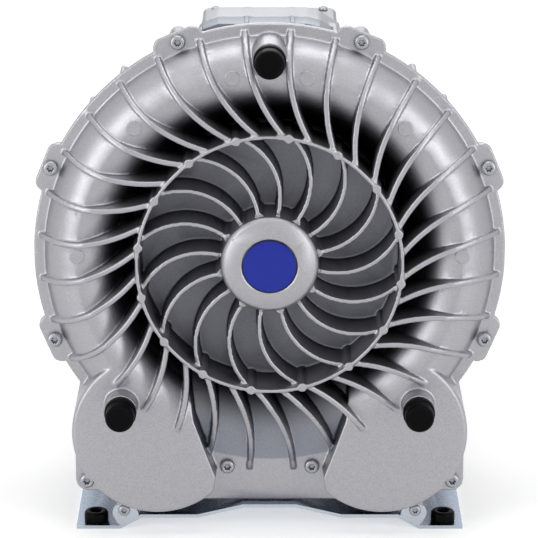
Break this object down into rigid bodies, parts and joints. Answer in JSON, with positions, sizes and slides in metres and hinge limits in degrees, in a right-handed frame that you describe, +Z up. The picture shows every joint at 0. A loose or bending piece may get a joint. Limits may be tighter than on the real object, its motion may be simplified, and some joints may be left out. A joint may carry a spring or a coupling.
{
  "type": "side channel blower",
  "caption": "Side channel blower with finned ring cover, vaned wheel, twin silencer pipes, rear motor with fan, and a folded foot bracket.",
  "frame": {"origin": "floor level in the middle of the four foot holes", "axes": "+Z up along the foot bolts, -Y towards the finned cover, +X to the right seen from the cover; the shaft lies along Y"},
  "size_m": [0.382, 0.393, 0.428],
  "materials": {
    "cast_aluminium": "die-cast aluminium, satin, fine grain",
    "motor_aluminium": "cast aluminium, satin",
    "wheel_aluminium": "cast and machined aluminium",
    "zinc_steel": "bright zinc-plated steel",
    "zinc_sheet": "bright zinc-plated sheet steel",
    "shaft_steel": "ground steel",
    "bearing_steel": "ground and polished bearing steel",
    "cage_plastic": "moulded polyamide",
    "lamination_steel": "stacked electrical steel sheets",
    "copper_windings": "varnished copper wire",
    "black_rubber": "moulded black rubber",
    "badge_enamel": "royal blue domed resin, bare",
    "fan_plastic": "moulded polyamide",
    "board_plastic": "moulded phenolic",
    "gland_plastic": "moulded polyamide",
    "cowl_sheet": "powder-coated pressed sheet steel",
    "brass": "turned brass",
    "foam": "open-cell sound-absorbing foam"
  },
  "bodies": {
    "housing": {"cover": "cast_aluminium", "casing": "cast_aluminium", "cover_screws": "zinc_steel", "standoff_feet": "black_rubber", "hub_badge": "badge_enamel", "shaft_seal": "black_rubber", "front_bearing_outer_ring": "bearing_steel", "rear_bearing_outer_ring": "bearing_steel", "stator_core": "lamination_steel", "stator_windings": "copper_windings", "motor_housing": "motor_aluminium", "end_shield": "motor_aluminium", "preload_washer": "zinc_steel", "fan_cowl": "cowl_sheet", "terminal_box": "motor_aluminium", "terminal_box_gasket": "black_rubber", "terminal_box_lid": "motor_aluminium", "terminal_board": "board_plastic", "cable_gland": "gland_plastic", "inlet_silencer_foam": "foam", "inlet_silencer_tube": "zinc_steel", "inlet_port_flange": "cast_aluminium", "outlet_silencer_foam": "foam", "outlet_silencer_tube": "zinc_steel", "outlet_port_flange": "cast_aluminium", "foot_bracket": "zinc_sheet", "foot_bushes": "black_rubber", "bracket_screws": "zinc_steel", "bracket_bolts": "zinc_steel", "port_flange_screws": "zinc_steel", "lid_screws": "zinc_steel", "cowl_screws": "zinc_steel", "end_shield_bolts": "zinc_steel", "motor_flange_screws": "zinc_steel", "terminal_studs": "brass"},
    "rotor": {"wheel": "wheel_aluminium", "shaft": "shaft_steel", "wheel_key": "shaft_steel", "wheel_washer": "zinc_steel", "wheel_nut": "zinc_steel", "rotor_core": "lamination_steel", "cooling_fan": "fan_plastic", "fan_clip": "shaft_steel", "front_bearing_inner_ring": "bearing_steel", "rear_bearing_inner_ring": "bearing_steel"},
    "front_ball_set": {"front_bearing_balls": "bearing_steel", "front_bearing_cage": "cage_plastic"},
    "rear_ball_set": {"rear_bearing_balls": "bearing_steel", "rear_bearing_cage": "cage_plastic"}
  },
  "joints": [
    {"name": "rotor_spin", "type": "hinge", "parent": "housing", "child": "rotor", "pos_m": [0, 0, 0.237], "axis": [0, 1, 0], "continuous": true},
    {"name": "front_balls_roll", "type": "hinge", "parent": "housing", "child": "front_ball_set", "pos_m": [0, 0, 0.237], "axis": [0, 1, 0], "continuous": true},
    {"name": "rear_balls_roll", "type": "hinge", "parent": "housing", "child": "rear_ball_set", "pos_m": [0, 0, 0.237], "axis": [0, 1, 0], "continuous": true}
  ],
  "couplings": [
    {"joint": "front_balls_roll", "follows": "rotor_spin", "ratio": 0.4},
    {"joint": "rear_balls_roll", "follows": "rotor_spin", "ratio": 0.4}
  ]
}
